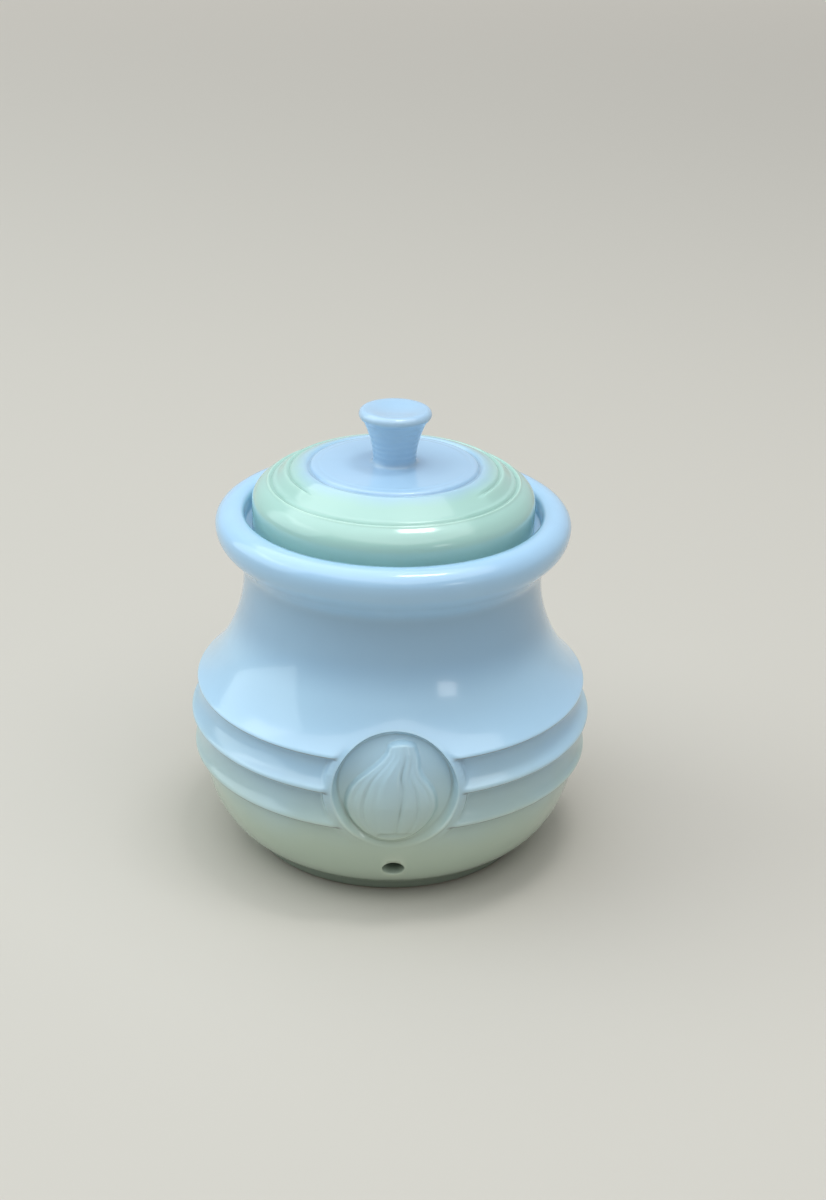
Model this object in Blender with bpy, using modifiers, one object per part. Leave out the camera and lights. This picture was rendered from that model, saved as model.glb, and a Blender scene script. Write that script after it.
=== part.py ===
"""Garlic keeper: a vented stoneware pot with a lid that lifts off. Metres, +Z up, front at -Y.

The pot is one turned shell: foot ring, bowl, three lapped ribs, waisted neck and a rolled rim with
an inner ledge. A round medallion with a garlic bulb in relief is sunk into its front, and a vent
hole goes through the bowl in front and behind. The lid is one turned piece with its knob. It rests
on the ledge, and its flange keeps it centred in the mouth.
"""

import math

import bpy
import numpy as np
from mathutils import Matrix, Vector

# Driving dimensions of the pot
BELLY_RADIUS = 0.0650
BELLY_WALL = 0.0076
FOOT_RADIUS = 0.0448
RIM_TOP = 0.1131
NECK_Z = 0.0907
NECK_WALL = 0.0054
FLOOR_THICKNESS = 0.0062

# Foot ring and underside
FOOT_WIDTH = 0.0037
FOOT_FLARE = 0.0012
FOOT_RECESS = 0.0028
GROOVE_Z = 0.0034
GROOVE_DEPTH = 0.0012
GROOVE_RISE = 0.0008

# Lapped ribs: each lip stands over a step, and the wall flares out again to the next lip
UPPER_LIP_Z = 0.0544
MIDDLE_LIP_Z = 0.0433
LOWER_LIP_Z = 0.0313
UPPER_LIP_INSET = 0.0020
LOWER_LIP_INSET = 0.0009
LIP_NOSE = 0.0008
LIP_STEP = 0.0019

# Rim, ledge and mouth
RIM_WIDTH = 0.0091
RIM_HEIGHT = 0.0160
RIM_INNER_DROP = 0.0016
LEDGE_DEPTH = 0.0064
LEDGE_WIDTH = 0.0050

# Lid
LID_RADIUS = 0.0446
LID_GAP = 0.0025
LID_DOME = 0.0205
CREASE_HEIGHT = 0.0117
BROW_HEIGHT = 0.0080
LID_THICKNESS = 0.0048
FLANGE_CLEARANCE = 0.0008
FLANGE_THICKNESS = 0.0042
FLANGE_DEPTH = 0.0047
DISC_RADIUS = 0.0267
DISC_GROOVE = 0.0005
INNER_RING_RADIUS = 0.0328
OUTER_RING_RADIUS = 0.0384
CREASE_RADIUS = 0.0434
RING_STEP = 0.0008

# Knob
KNOB_RADIUS = 0.0114
KNOB_HEIGHT = 0.0177
KNOB_LIP = 0.0017
KNOB_DISH = 0.0009
STEM_RADIUS = 0.0067
STEM_FILLET = 0.0019

# Medallion and its collar, where the ribs stop
MEDALLION_RADIUS = 0.0192
MEDALLION_Z = 0.0441
MEDALLION_TILT = math.radians(7.5)
MEDALLION_DEPTH = 0.0040
MEDALLION_CROWN_RADIUS = 0.0550
MEDALLION_DRAFT = math.radians(9.0)
MEDALLION_FILLET = 0.0012
COLLAR_WIDTH = 0.0026
COLLAR_INSET = 0.0004
COLLAR_SLOPE = math.radians(32.0)

# Garlic bulb in relief
GARLIC_HALF_WIDTH = 0.0134
GARLIC_HEIGHT = 0.0314
GARLIC_STEM_RADIUS = 0.0030
GARLIC_RELIEF = 0.0026
GARLIC_LEAN = 0.0026
CLOVES_ROUND = 10
CLOVE_GROOVE_SHARE = 0.24

# Vent holes
VENT_RADIUS = 0.0034
VENT_MOUTH_RADIUS = 0.0042
VENT_Z = 0.0148
VENT_MOUTH_DEPTH = 0.0026
VENT_MOUTH_SPREAD = 0.4
VENT_AZIMUTHS = (0.0, math.pi)

# Clearances, broken edges and counts
EDGE_BREAK = 0.0006
SEAT_GAP = 0.0003
OVERRUN = 0.0060
MERGE = 0.00001
POT_STEPS = 60
LID_STEPS = 48
CUTTER_STEPS = 40

# Sizes that follow from the ones above
GALLERY_RADIUS = LID_RADIUS + LID_GAP
RIM_RADIUS = GALLERY_RADIUS + RIM_WIDTH
MOUTH_RADIUS = GALLERY_RADIUS - LEDGE_WIDTH
NECK_RADIUS = MOUTH_RADIUS + NECK_WALL
LEDGE_Z = RIM_TOP - LEDGE_DEPTH
RIM_UNDERSIDE = RIM_TOP - RIM_HEIGHT
UPPER_LIP_RADIUS = BELLY_RADIUS - UPPER_LIP_INSET
LOWER_LIP_RADIUS = BELLY_RADIUS - LOWER_LIP_INSET
INNER_RADIUS = BELLY_RADIUS - BELLY_WALL
FLOOR_Z = FOOT_RECESS + FLOOR_THICKNESS
LID_SEAT_Z = LEDGE_Z + SEAT_GAP
FLANGE_RADIUS = MOUTH_RADIUS - FLANGE_CLEARANCE
DOME_Z = LID_SEAT_Z + LID_DOME
LID_TOP = DOME_Z + KNOB_HEIGHT
ENVELOPE_RADIUS = BELLY_RADIUS - COLLAR_INSET
WEB = BELLY_WALL - COLLAR_INSET - MEDALLION_DEPTH


def curve(start, lead, trail, end, pieces):
    """Points of a cubic curve from start to end, without start, so that stretches join."""
    points = []
    for step in range(1, pieces + 1):
        t = step / pieces
        u = 1.0 - t
        weights = (u * u * u, 3.0 * u * u * t, 3.0 * u * t * t, t * t * t)
        corners = (start, lead, trail, end)
        points.append(tuple(sum(w * c[axis] for w, c in zip(weights, corners)) for axis in (0, 1)))
    return points


def blend(a, b, share):
    """The value that lies the given share of the way from a to b."""
    return a + (b - a) * share


def arc(centre, radius, first, last, pieces):
    """Points on a circle between two angles in degrees, both ends included."""
    angles = np.radians(np.linspace(first, last, pieces + 1))
    return [(centre[0] + radius * math.cos(a), centre[1] + radius * math.sin(a)) for a in angles]


def lip_nose(radius, z):
    """Rounded nose of a lapped rib, whose lowest point is at z."""
    centre = (radius - LIP_NOSE, z + LIP_NOSE)
    return arc(centre, LIP_NOSE, 50, -80, 4)


def rib(radius, z, next_radius, next_z):
    """One lip, the step under it, and the hollow flare out to the next lip."""
    points = lip_nose(radius, z)
    root = (radius - LIP_STEP, z - LIP_NOSE / 2)
    nose = lip_nose(next_radius, next_z)[0]
    lead = (blend(root[0], nose[0], 0.05), blend(root[1], nose[1], 0.45))
    trail = (blend(root[0], nose[0], 0.40), blend(root[1], nose[1], 0.80))
    return points + [root] + curve(root, lead, trail, nose, 4)[:-1]


def inside_outline():
    """Inner half section from the middle of the floor up to the ledge."""
    floor_edge = (blend(0.0, INNER_RADIUS, 0.78), FLOOR_Z)
    belly = (INNER_RADIUS, blend(FLOOR_Z, UPPER_LIP_Z, 0.72))
    neck = (MOUTH_RADIUS, NECK_Z)
    points = [(0.0, FLOOR_Z), floor_edge]
    points += curve(
        floor_edge,
        (blend(floor_edge[0], INNER_RADIUS, 0.55), FLOOR_Z),
        (INNER_RADIUS, blend(FLOOR_Z, belly[1], 0.50)),
        belly,
        6,
    )
    points += curve(
        belly,
        (INNER_RADIUS, blend(belly[1], NECK_Z, 0.40)),
        (MOUTH_RADIUS, blend(belly[1], NECK_Z, 0.45)),
        neck,
        7,
    )
    points += arc((MOUTH_RADIUS + EDGE_BREAK, LEDGE_Z - EDGE_BREAK), EDGE_BREAK, 180, 90, 2)
    points.append((GALLERY_RADIUS, LEDGE_Z))
    return points


def rim_outline():
    """Rolled rim, from the wall above the ledge over the crest to the neck."""
    inner = (GALLERY_RADIUS, RIM_TOP - RIM_INNER_DROP)
    crest = (blend(GALLERY_RADIUS, RIM_RADIUS, 0.42), RIM_TOP)
    side = (RIM_RADIUS, RIM_TOP - RIM_HEIGHT * 0.29)
    under = (blend(NECK_RADIUS, RIM_RADIUS, 0.20), RIM_UNDERSIDE)
    neck = (NECK_RADIUS, NECK_Z)
    points = [inner]
    points += curve(
        inner,
        (GALLERY_RADIUS, blend(inner[1], RIM_TOP, 0.65)),
        (blend(inner[0], crest[0], 0.40), RIM_TOP),
        crest,
        3,
    )
    points += curve(
        crest,
        (blend(crest[0], side[0], 0.55), RIM_TOP),
        (RIM_RADIUS, blend(crest[1], side[1], 0.45)),
        side,
        4,
    )
    points += curve(
        side,
        (RIM_RADIUS, blend(side[1], under[1], 0.54)),
        (blend(side[0], under[0], 0.59), blend(side[1], under[1], 0.64)),
        under,
        4,
    )
    points += curve(
        under,
        (blend(under[0], neck[0], 0.53), blend(under[1], neck[1], 0.10)),
        (NECK_RADIUS, blend(under[1], neck[1], 0.32)),
        neck,
        3,
    )
    return points


def shoulder_outline():
    """Hollow flare from the neck out to the upper lip."""
    neck = (NECK_RADIUS, NECK_Z)
    nose = lip_nose(UPPER_LIP_RADIUS, UPPER_LIP_Z)[0]
    lead = (NECK_RADIUS, blend(NECK_Z, nose[1], 0.37))
    trail = (blend(NECK_RADIUS, nose[0], 0.44), blend(NECK_Z, nose[1], 0.79))
    return curve(neck, lead, trail, nose, 8)[:-1]


def bowl_outline():
    """The lower lip and the bowl under it, down to the groove over the foot."""
    points = lip_nose(LOWER_LIP_RADIUS, LOWER_LIP_Z)
    root = (LOWER_LIP_RADIUS - LIP_STEP, LOWER_LIP_Z - LIP_NOSE / 2)
    edge = (FOOT_RADIUS + FOOT_FLARE + GROOVE_DEPTH, GROOVE_Z + GROOVE_RISE)
    lead = (blend(edge[0], root[0], 0.87), blend(edge[1], root[1], 0.63))
    trail = (blend(edge[0], root[0], 0.70), blend(edge[1], root[1], 0.21))
    return points + [root] + curve(root, lead, trail, edge, 7)


def foot_outline():
    """Groove, foot ring and the recessed underside, in to the middle."""
    top = FOOT_RADIUS + FOOT_FLARE
    inner = FOOT_RADIUS - FOOT_WIDTH
    return [
        (top + GROOVE_DEPTH / 3, GROOVE_Z),
        (top, GROOVE_Z - GROOVE_RISE / 2),
        (FOOT_RADIUS + EDGE_BREAK, EDGE_BREAK),
        (FOOT_RADIUS, 0.0),
        (inner, 0.0),
        (inner - EDGE_BREAK, EDGE_BREAK),
        (inner - EDGE_BREAK - FOOT_RECESS / 2, FOOT_RECESS),
        (0.0, FOOT_RECESS),
    ]


def pot_outline():
    """The pot's whole half section, which runs down its outer side."""
    points = inside_outline() + rim_outline() + shoulder_outline()
    points += rib(UPPER_LIP_RADIUS, UPPER_LIP_Z, BELLY_RADIUS, MIDDLE_LIP_Z)
    points += rib(BELLY_RADIUS, MIDDLE_LIP_Z, LOWER_LIP_RADIUS, LOWER_LIP_Z)
    return points + bowl_outline() + foot_outline()


def knob_outline():
    """Dished top, rounded lip, tapering stem and its fillet onto the lid."""
    lip = (KNOB_RADIUS - KNOB_LIP, LID_TOP - KNOB_LIP)
    nose = arc(lip, KNOB_LIP, 90, -65, 6)
    foot = (STEM_RADIUS, DOME_Z + STEM_FILLET)
    points = [(0.0, LID_TOP - KNOB_DISH)]
    points += curve(
        points[0],
        (blend(0.0, lip[0], 0.45), points[0][1]),
        (blend(0.0, lip[0], 0.62), LID_TOP),
        nose[0],
        4,
    )
    points += nose[1:]
    points += curve(
        nose[-1],
        (blend(nose[-1][0], foot[0], 0.30), blend(nose[-1][1], foot[1], 0.12)),
        (blend(nose[-1][0], foot[0], 0.95), blend(nose[-1][1], foot[1], 0.55)),
        foot,
        5,
    )
    return points + arc((STEM_RADIUS + STEM_FILLET, DOME_Z + STEM_FILLET), STEM_FILLET, 180, 270, 3)[1:]


def dome_outline():
    """Flat disc, its groove, two stepped rings and the rounded wall down to the seat."""
    crease_z = LID_SEAT_Z + CREASE_HEIGHT
    fall_shares = (0.04, 0.20, 0.55)
    disc_z, inner_z, outer_z = (blend(DOME_Z, crease_z, share) for share in fall_shares)
    points = [
        (DISC_RADIUS - DISC_GROOVE, disc_z),
        (DISC_RADIUS, disc_z - DISC_GROOVE),
        (DISC_RADIUS + DISC_GROOVE, disc_z - DISC_GROOVE / 4),
    ]
    points += ring_step(INNER_RING_RADIUS, inner_z)
    points += ring_step(OUTER_RING_RADIUS, outer_z)
    crease = (CREASE_RADIUS, crease_z)
    start = points[-1]
    points += curve(
        start,
        (blend(start[0], crease[0], 0.35), blend(start[1], crease[1], 0.12)),
        (blend(start[0], crease[0], 0.80), blend(start[1], crease[1], 0.50)),
        crease,
        4,
    )
    brow = (LID_RADIUS, LID_SEAT_Z + BROW_HEIGHT)
    points += curve(
        crease,
        (blend(crease[0], brow[0], 0.55), blend(crease[1], brow[1], 0.22)),
        (LID_RADIUS, blend(crease[1], brow[1], 0.50)),
        brow,
        3,
    )
    return points


def ring_step(radius, z):
    """One rounded step down, between two rings of the dome."""
    return [
        (radius - RING_STEP, z),
        (radius, z - RING_STEP / 3),
        (radius + RING_STEP / 2, z - RING_STEP),
    ]


def underside_outline():
    """Seat, centring flange and the hollow under the dome, in to the middle."""
    inner = FLANGE_RADIUS - FLANGE_THICKNESS
    ceiling = DOME_Z - LID_THICKNESS
    bottom = LID_SEAT_Z - FLANGE_DEPTH
    points = [
        (LID_RADIUS, LID_SEAT_Z + EDGE_BREAK),
        (LID_RADIUS - EDGE_BREAK, LID_SEAT_Z),
        (FLANGE_RADIUS, LID_SEAT_Z),
        (FLANGE_RADIUS, bottom + EDGE_BREAK),
        (FLANGE_RADIUS - EDGE_BREAK, bottom),
        (inner + EDGE_BREAK, bottom),
        (inner, bottom + EDGE_BREAK),
        (inner, LID_SEAT_Z),
    ]
    points += curve(
        points[-1],
        (inner, blend(LID_SEAT_Z, ceiling, 0.55)),
        (blend(inner, 0.0, 0.22), ceiling),
        (blend(inner, 0.0, 0.50), ceiling),
        5,
    )
    points.append((0.0, ceiling))
    return points


def lid_outline():
    """The lid's whole half section, which runs down its outer side."""
    return knob_outline() + dome_outline() + underside_outline()


def new_object(name, mesh, collection):
    """Link a mesh into a collection under its name."""
    item = bpy.data.objects.new(name, mesh)
    collection.objects.link(item)
    return item


def turned(name, outline, steps, collection):
    """A solid of revolution: the outline goes round the Z axis with a Screw modifier."""
    mesh = bpy.data.meshes.new(name)
    edges = [(i, i + 1) for i in range(len(outline) - 1)]
    mesh.from_pydata([(r, 0.0, z) for r, z in outline], edges, [])
    item = new_object(name, mesh, collection)
    screw = item.modifiers.new("Turn", "SCREW")
    screw.axis = "Z"
    screw.angle = math.tau
    screw.steps = steps
    screw.render_steps = steps
    screw.use_merge_vertices = True
    screw.merge_threshold = MERGE
    return item


def as_cutter(item):
    """Keep a helper out of renders and show it as wire."""
    item.hide_render = True
    item.display_type = "WIRE"
    return item


def boolean(target, helper, operation):
    """Cut, join or intersect target with helper by the exact solver."""
    modifier = target.modifiers.new(helper.name, "BOOLEAN")
    modifier.operation = operation
    modifier.solver = "EXACT"
    modifier.object = helper


def medallion_frame():
    """Place of the medallion: local Z points out of the belly, local Y up the wall."""
    centre = Vector((0.0, -ENVELOPE_RADIUS, MEDALLION_Z))
    return Matrix.Translation(centre) @ Matrix.Rotation(math.pi / 2 - MEDALLION_TILT, 4, "X")


def crown_drop(radius):
    """How far the domed medallion floor falls away at a distance from its middle."""
    return MEDALLION_CROWN_RADIUS - math.sqrt(MEDALLION_CROWN_RADIUS**2 - radius**2)


def recess_cutter(collection):
    """Turned plug with a hollow end, which leaves the medallion's domed floor and drafted wall."""
    draft = math.tan(MEDALLION_DRAFT)
    floor_radius = MEDALLION_RADIUS - MEDALLION_FILLET - MEDALLION_DEPTH * draft
    floor = [blend(0.0, floor_radius, share) for share in (0.0, 0.25, 0.50, 0.75, 1.0)]
    edge_z = -MEDALLION_DEPTH - crown_drop(floor_radius)
    top = OVERRUN
    points = [
        (0.0, top),
        (MEDALLION_RADIUS + top * draft, top),
        (MEDALLION_RADIUS - MEDALLION_DEPTH * draft, -MEDALLION_DEPTH),
        (floor_radius + MEDALLION_FILLET * 0.9, edge_z + MEDALLION_FILLET),
        (floor_radius + MEDALLION_FILLET * 0.4, edge_z + MEDALLION_FILLET * 0.2),
    ]
    points += [(r, -MEDALLION_DEPTH - crown_drop(r)) for r in reversed(floor)]
    cutter = turned("medallion_recess", points, CUTTER_STEPS, collection)
    cutter.matrix_world = medallion_frame()
    return as_cutter(cutter)


def collar_filler(collection):
    """Plain band of the belly between the ribs' lips, kept only round the medallion."""
    back = INNER_RADIUS + WEB / 2
    inset = COLLAR_INSET
    nose = LIP_NOSE * 2.5
    points = [
        (back, UPPER_LIP_Z + nose),
        (UPPER_LIP_RADIUS - inset - nose, UPPER_LIP_Z + nose),
        (UPPER_LIP_RADIUS - inset, UPPER_LIP_Z + inset),
        (BELLY_RADIUS - inset, MIDDLE_LIP_Z + nose),
        (BELLY_RADIUS - inset, MIDDLE_LIP_Z + inset),
        (LOWER_LIP_RADIUS - inset, LOWER_LIP_Z + inset),
        (LOWER_LIP_RADIUS - LIP_STEP - inset, LOWER_LIP_Z - nose),
        (back, LOWER_LIP_Z - nose),
    ]
    band = turned("collar_band", points + points[:1], POT_STEPS, collection)
    radius = MEDALLION_RADIUS + COLLAR_WIDTH
    slope = math.tan(COLLAR_SLOPE)
    shoulder = -(ENVELOPE_RADIUS - math.sqrt(ENVELOPE_RADIUS**2 - radius**2))
    depth = MEDALLION_DEPTH + WEB
    outer = radius - (OVERRUN - shoulder) * slope
    inner = radius + (depth + shoulder) * slope
    cone_outline = [(0.0, OVERRUN), (outer, OVERRUN), (inner, -depth), (0.0, -depth)]
    cone = turned("collar_cone", cone_outline, CUTTER_STEPS, collection)
    cone.matrix_world = medallion_frame()
    boolean(band, as_cutter(cone), "INTERSECT")
    return as_cutter(band)


def garlic_outline():
    """Half section of the bulb about its own upright axis, from the stem's top to the root."""
    width = GARLIC_HALF_WIDTH
    top = GARLIC_HEIGHT
    stem = GARLIC_STEM_RADIUS
    widest = (width, top * 0.40)
    neck = (stem * 1.4, top * 0.90)
    points = [(0.0, top), (stem, top - stem / 4), neck]
    points += curve(
        neck,
        (blend(neck[0], width, 0.15), blend(neck[1], widest[1], 0.24)),
        (width, blend(neck[1], widest[1], 0.63)),
        widest,
        6,
    )
    points += curve(
        widest,
        (width, top * 0.20),
        (blend(stem, width, 0.55), top * 0.04),
        (stem, top * 0.02),
        6,
    )
    return points + [(0.0, 0.0)]


def garlic_relief(collection):
    """Garlic bulb: turned, drawn in between its cloves, and pressed flat onto the floor."""
    blank = turned("garlic_blank", garlic_outline(), CLOVES_ROUND * 4, collection)
    mesh = evaluated_mesh(blank)
    bpy.data.objects.remove(blank)
    radius = GARLIC_HALF_WIDTH
    relief = GARLIC_RELIEF + crown_drop(radius)
    for vertex in mesh.vertices:
        x, y, z = vertex.co
        turn = math.atan2(x, -y)
        lobe = abs(math.cos(turn * CLOVES_ROUND / 2)) ** 0.6
        groove = 1.0 - CLOVE_GROOVE_SHARE * (1.0 - lobe)
        thickness = relief * groove if y < 0.0 else WEB / 4
        lean = GARLIC_LEAN * (z / GARLIC_HEIGHT) ** 4
        vertex.co = (x + lean, z - GARLIC_HEIGHT / 2, -y / radius * thickness)
    bulb = new_object("garlic_bulb", mesh, collection)
    sink = -MEDALLION_DEPTH - crown_drop(radius) + WEB / 8
    bulb.matrix_world = medallion_frame() @ Matrix.Translation((0.0, 0.0, sink))
    return as_cutter(bulb)


def vent_cutter(number, azimuth, collection):
    """Round vent hole through the bowl, opened out at its outer end."""
    outside = BELLY_RADIUS + OVERRUN
    inside = FOOT_RADIUS - BELLY_WALL
    radii, heights = zip(*reversed(bowl_outline()))
    mouth = float(np.interp(VENT_Z, heights, radii))
    throat = mouth - VENT_MOUTH_DEPTH
    points = [
        (0.0, outside),
        (VENT_MOUTH_RADIUS + (outside - mouth) * VENT_MOUTH_SPREAD, outside),
        (VENT_MOUTH_RADIUS, mouth),
        (VENT_RADIUS, throat),
        (VENT_RADIUS, inside),
        (0.0, inside),
    ]
    cutter = turned(f"vent_{number}", points, CUTTER_STEPS // 2, collection)
    place = Matrix.Translation((0.0, 0.0, VENT_Z)) @ Matrix.Rotation(azimuth, 4, "Z")
    cutter.matrix_world = place @ Matrix.Rotation(math.pi / 2, 4, "X")
    return as_cutter(cutter)


def glaze(name, colour, roughness):
    """Glossy glaze over stoneware."""
    material = bpy.data.materials.new(name)
    material.use_nodes = True
    shader = material.node_tree.nodes["Principled BSDF"]
    shader.inputs["Base Color"].default_value = (*colour, 1.0)
    shader.inputs["Roughness"].default_value = roughness
    shader.inputs["Metallic"].default_value = 0.0
    return material


def evaluated_mesh(item):
    """The mesh that an object's modifiers make."""
    bpy.context.view_layer.update()
    evaluated = item.evaluated_get(bpy.context.evaluated_depsgraph_get())
    return bpy.data.meshes.new_from_object(evaluated)


def baked(item, name, collection, material):
    """Replace an object by its evaluated mesh, shaded smooth with its sharp edges kept."""
    mesh = evaluated_mesh(item)
    mesh.name = name
    mesh.shade_smooth()
    mesh.set_sharp_from_angle(angle=math.radians(35.0))
    mesh.materials.clear()
    mesh.materials.append(material)
    result = new_object(name, mesh, collection)
    result.matrix_world = item.matrix_world
    bpy.data.objects.remove(item)
    return result


def make_pot(parts, cutters):
    """The pot: turned shell, collar, medallion recess, garlic relief and vent holes."""
    shell = turned("pot_shell", pot_outline(), POT_STEPS, cutters)
    boolean(shell, collar_filler(cutters), "UNION")
    boolean(shell, recess_cutter(cutters), "DIFFERENCE")
    boolean(shell, garlic_relief(cutters), "UNION")
    for number, azimuth in enumerate(VENT_AZIMUTHS, start=1):
        boolean(shell, vent_cutter(number, azimuth, cutters), "DIFFERENCE")
    return baked(shell, "pot", parts, glaze("pot_glaze", (0.60, 0.71, 0.78), 0.12))


def make_lid(parts, cutters):
    """The lid with its knob, resting on the ledge inside the rim."""
    blank = turned("lid_blank", lid_outline(), LID_STEPS, cutters)
    return baked(blank, "lid", parts, glaze("lid_glaze", (0.62, 0.75, 0.58), 0.12))


def main():
    for item in list(bpy.data.objects):
        bpy.data.objects.remove(item)
    parts = bpy.data.collections.new("garlic_keeper")
    cutters = bpy.data.collections.new("garlic_keeper_cutters")
    for collection in (parts, cutters):
        bpy.context.scene.collection.children.link(collection)
    make_pot(parts, cutters)
    make_lid(parts, cutters)


main()
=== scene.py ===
# %% [markdown]
# # A glazed garlic keeper
# The object is a stoneware jar for garlic: a round pot with lapped ribs, a sunk medallion with a
# garlic bulb in relief, and a domed lid with a knob. The imported model fixes every size and place.
# This lesson dresses it: it works out finer surfaces with numpy, and gives them a glaze.
# The first step loads the frame, bakes each part's placing into its mesh and drops all that is not a mesh.

import math

import bpy
import numpy as np
from mathutils import Matrix


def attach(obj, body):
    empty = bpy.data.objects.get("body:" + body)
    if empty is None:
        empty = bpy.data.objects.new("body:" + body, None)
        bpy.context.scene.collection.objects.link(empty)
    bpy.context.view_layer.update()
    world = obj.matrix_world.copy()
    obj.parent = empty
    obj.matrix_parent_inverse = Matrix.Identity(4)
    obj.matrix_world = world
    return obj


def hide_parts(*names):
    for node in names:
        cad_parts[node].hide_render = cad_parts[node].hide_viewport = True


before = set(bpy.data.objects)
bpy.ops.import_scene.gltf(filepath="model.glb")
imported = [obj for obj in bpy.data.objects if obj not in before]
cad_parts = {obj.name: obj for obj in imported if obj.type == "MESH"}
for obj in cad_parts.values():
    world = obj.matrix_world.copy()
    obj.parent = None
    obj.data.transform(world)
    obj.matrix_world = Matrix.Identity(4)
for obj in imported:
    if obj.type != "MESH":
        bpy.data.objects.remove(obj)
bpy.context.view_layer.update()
MM = 0.001

# %% [markdown]
# ## Camera
# A camera can be worked out from a picture of a turned pot, because each ring is seen as an ellipse:
# its flatness gives the height of the eye, and the way the ellipses change from lid to foot gives the
# distance. The lens is written as the number of pixels that one unit of slope covers in an image 1200
# pixels tall. The swing turns the camera a little round the pot, so that the medallion looks past it.

# %% Camera
FOCAL_PIXELS, IMAGE_HEIGHT = 2000, 1200
PITCH, YAW, ROLL, SWING = np.radians((24.263, 0.657, 1.278, -1.8))
EYE = np.array((0.0, -587.2, 345.1)) * MM


def camera_axes(pitch, yaw, roll):
    """Right, up and back of a camera that looks along +Y, dips by pitch, turns by yaw and rolls."""
    forward = np.array((math.sin(yaw) * math.cos(pitch), math.cos(yaw) * math.cos(pitch), -math.sin(pitch)))
    right = np.array((math.cos(yaw), -math.sin(yaw), 0.0))
    up = np.cross(right, forward)
    rolled_right = right * math.cos(roll) + up * math.sin(roll)
    rolled_up = up * math.cos(roll) - right * math.sin(roll)
    return np.stack((rolled_right, rolled_up, -forward), axis=1)


camera_data = bpy.data.cameras.new("camera")
camera_data.sensor_fit = "VERTICAL"
camera_data.sensor_height = 24.0
camera_data.lens = FOCAL_PIXELS / IMAGE_HEIGHT * camera_data.sensor_height
camera = bpy.data.objects.new("camera", camera_data)
bpy.context.scene.collection.objects.link(camera)
axes = Matrix(camera_axes(PITCH, YAW, ROLL).tolist()).to_4x4()
camera.matrix_world = Matrix.Rotation(SWING, 4, "Z") @ Matrix.Translation(EYE.tolist()) @ axes
bpy.context.scene.camera = camera
print("lens", round(camera_data.lens, 2), "mm")

# %% [markdown]
# ## Half sections
# Pot and lid were both turned, so each starts as a half section: pairs of radius and height. Long
# curves are cubics with two handles, and small roundings are arcs. Glaze rounds whatever it covers,
# so the finished section is blurred along its length by about a third of a millimetre. Rows are then
# dealt out by bend: many where the section turns sharply, few where it runs straight.

# %% Curves of a half section
def cubic(start, lead, trail, end, count=24):
    """Points of (1-t)^3 a + 3(1-t)^2 t b + 3(1-t) t^2 c + t^3 d for t over 0 to 1, without the first."""
    t = np.linspace(0.0, 1.0, count + 1)[1:, None]
    a, b, c, d = (np.array(p, float) for p in (start, lead, trail, end))
    return (1 - t) ** 3 * a + 3 * (1 - t) ** 2 * t * b + 3 * (1 - t) * t**2 * c + t**3 * d


def arc(centre, radius, first, last, count=12):
    """Points centre + radius (cos a, sin a) for a from first to last, in degrees."""
    angle = np.radians(np.linspace(first, last, count + 1))
    return np.array(centre) + radius * np.stack((np.cos(angle), np.sin(angle)), axis=1)


def between(a, b, share):
    """The value a + (b - a) share."""
    return a + (b - a) * share


def ease(value, low, high):
    """0 below low, 1 above high, and 3t^2 - 2t^3 between them."""
    t = np.clip((value - low) / (high - low), 0.0, 1.0)
    return t * t * (3.0 - 2.0 * t)


def bell(value, width):
    """The bell curve exp(-x^2 / 2 width^2)."""
    return np.exp(-0.5 * (value / width) ** 2)


def blurred(values, width, spacing):
    """Running mean along the first axis, weighted by the bell curve."""
    reach = int(math.ceil(3 * width / spacing))
    weights = bell(np.arange(-reach, reach + 1) * spacing, width)
    padded = np.pad(values, [(reach, reach)] + [(0, 0)] * (values.ndim - 1), mode="edge")
    columns = padded.reshape(len(padded), -1)
    run = [np.convolve(column, weights / weights.sum(), mode="valid") for column in columns.T]
    return np.stack(run, axis=1).reshape(values.shape)


BELT_GAIN = 3.0


def glazed_section(points, rows, soften=0.28 * MM, bend_gain=1.6 * MM, belt=(0.0, 0.0)):
    """Resample evenly, blur, then place rows at equal steps of length times (1 + bend_gain curvature).

    In the belt, between two heights on the outside, BELT_GAIN is added to that weight.
    """
    points = np.vstack(points)
    run = np.concatenate(([0.0], np.cumsum(np.hypot(*np.diff(points, axis=0).T))))
    spacing = 0.08 * MM
    even = np.arange(0.0, run[-1], spacing)
    fine = np.stack([np.interp(even, run, points[:, k]) for k in (0, 1)], axis=1)
    fine = blurred(fine, soften, spacing)
    fine[[0, -1], 0] = 0.0
    slope = np.unwrap(np.arctan2(*np.gradient(fine, axis=0).T))
    bend = blurred(np.abs(np.gradient(slope, spacing)), 0.5 * MM, spacing)
    outside = np.arange(len(fine)) > fine[:, 1].argmax()
    closer = BELT_GAIN * (outside & (fine[:, 1] > belt[0]) & (fine[:, 1] < belt[1]))
    cost = np.concatenate(([0.0], np.cumsum((1.0 + closer + bend_gain * bend)[1:])))
    place = np.interp(np.linspace(0.0, cost[-1], rows), cost, np.arange(len(fine)))
    return np.stack([np.interp(place, np.arange(len(fine)), fine[:, k]) for k in (0, 1)], axis=1)


# %% [markdown]
# ## Section of the pot
# The section runs from the middle of the floor up the inner wall, over the ledge that carries the lid
# and the rolled rim, and down the outside to the foot. The three ribs are lapped like shingles: each
# ends in a rounded lip, steps back under it, and flares out hollow to the next lip.

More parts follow.
